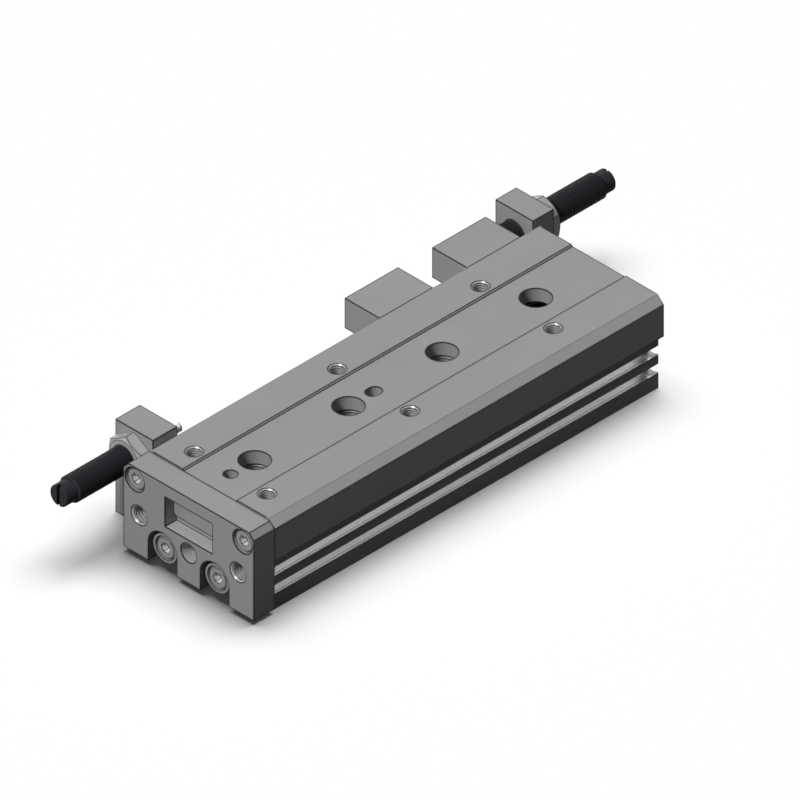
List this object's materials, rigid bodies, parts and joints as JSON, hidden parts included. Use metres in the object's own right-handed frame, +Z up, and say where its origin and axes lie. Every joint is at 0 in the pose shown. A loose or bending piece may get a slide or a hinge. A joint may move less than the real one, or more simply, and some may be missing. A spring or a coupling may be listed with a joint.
{
  "type": "pneumatic slide table",
  "caption": "Twin-rod pneumatic slide table on a crossed-roller rail, with an end plate, side grooves and a shock absorber for each end of its travel.",
  "frame": {"origin": "on the mounting face under the body, midway along the body and between its two bores", "axes": "+X the way the table extends, +Z up from the mounting face, +Y towards the side with the two switch grooves"},
  "size_m": [0.2112, 0.0647, 0.0307],
  "materials": {
    "anodised": "fine matt anodised",
    "bracket_grey": "fine matt anodised",
    "rail_steel": "ground",
    "roller_steel": "polished",
    "cage_brass": "stamped",
    "block_steel": "satin",
    "screw_steel": "satin plated",
    "bushing_steel": "turned",
    "rod_chrome": "hard chromed",
    "piston_alloy": "turned",
    "cover_alloy": "turned",
    "seal_rubber": "moulded",
    "magnet": "moulded",
    "ring_steel": "spring steel",
    "absorber_black": "black oxide",
    "plunger_steel": "polished",
    "nut_plated": "bright plated"
  },
  "bodies": {
    "cylinder": {"body": "anodised", "cage_stop_front": "rail_steel", "cage_stop_rear": "rail_steel", "cover_orings": "seal_rubber", "front_absorber": "absorber_black", "front_bracket": "bracket_grey", "front_bracket_screws": "screw_steel", "front_lock_nut": "nut_plated", "guide_rail": "rail_steel", "head_cap_left": "cover_alloy", "head_cap_right": "cover_alloy", "rail_screws": "screw_steel", "rear_absorber": "absorber_black", "rear_bracket": "bracket_grey", "rear_bracket_screws": "screw_steel", "rear_cover_left": "cover_alloy", "rear_cover_right": "cover_alloy", "rear_lock_nut": "nut_plated", "rod_seals": "seal_rubber", "snap_rings": "ring_steel"},
    "moving_table": {"table": "anodised", "end_plate": "anodised", "end_plate_screws": "screw_steel", "raceway_left": "rail_steel", "raceway_right": "rail_steel", "raceway_screws": "screw_steel", "preload_screws": "screw_steel", "stopper_block_front": "block_steel", "stopper_block_rear": "block_steel", "stopper_screws": "screw_steel", "piston_rod_left": "rod_chrome", "piston_rod_right": "rod_chrome", "floating_bushing_left": "bushing_steel", "floating_bushing_right": "bushing_steel", "rod_screws": "screw_steel", "piston_left": "piston_alloy", "piston_right": "piston_alloy", "piston_seals": "seal_rubber", "magnets": "magnet"},
    "cage_left": {"cage_left": "cage_brass", "rollers_left": "roller_steel"},
    "cage_right": {"cage_right": "cage_brass", "rollers_right": "roller_steel"},
    "front_plunger": {"front_plunger": "plunger_steel"},
    "rear_plunger": {"rear_plunger": "plunger_steel"}
  },
  "joints": [
    {"name": "table_slide", "type": "slide", "parent": "cylinder", "child": "moving_table", "axis": [1, 0, 0], "range_m": [0, 0.075]},
    {"name": "cage_left_slide", "type": "slide", "parent": "cylinder", "child": "cage_left", "axis": [1, 0, 0], "range_m": [0, 0.0375]},
    {"name": "cage_right_slide", "type": "slide", "parent": "cylinder", "child": "cage_right", "axis": [1, 0, 0], "range_m": [0, 0.0375]},
    {"name": "front_plunger_slide", "type": "slide", "parent": "cylinder", "child": "front_plunger", "axis": [1, 0, 0], "range_m": [0, 0.0058]},
    {"name": "rear_plunger_slide", "type": "slide", "parent": "cylinder", "child": "rear_plunger", "axis": [1, 0, 0], "range_m": [0, 0.0058]}
  ],
  "couplings": [
    {"joint": "cage_left_slide", "follows": "table_slide", "ratio": 0.5},
    {"joint": "cage_right_slide", "follows": "table_slide", "ratio": 0.5},
    {"joint": "front_plunger_slide", "follows": "table_slide", "ratio": 0.077333},
    {"joint": "rear_plunger_slide", "follows": "table_slide", "ratio": 0.077333}
  ]
}
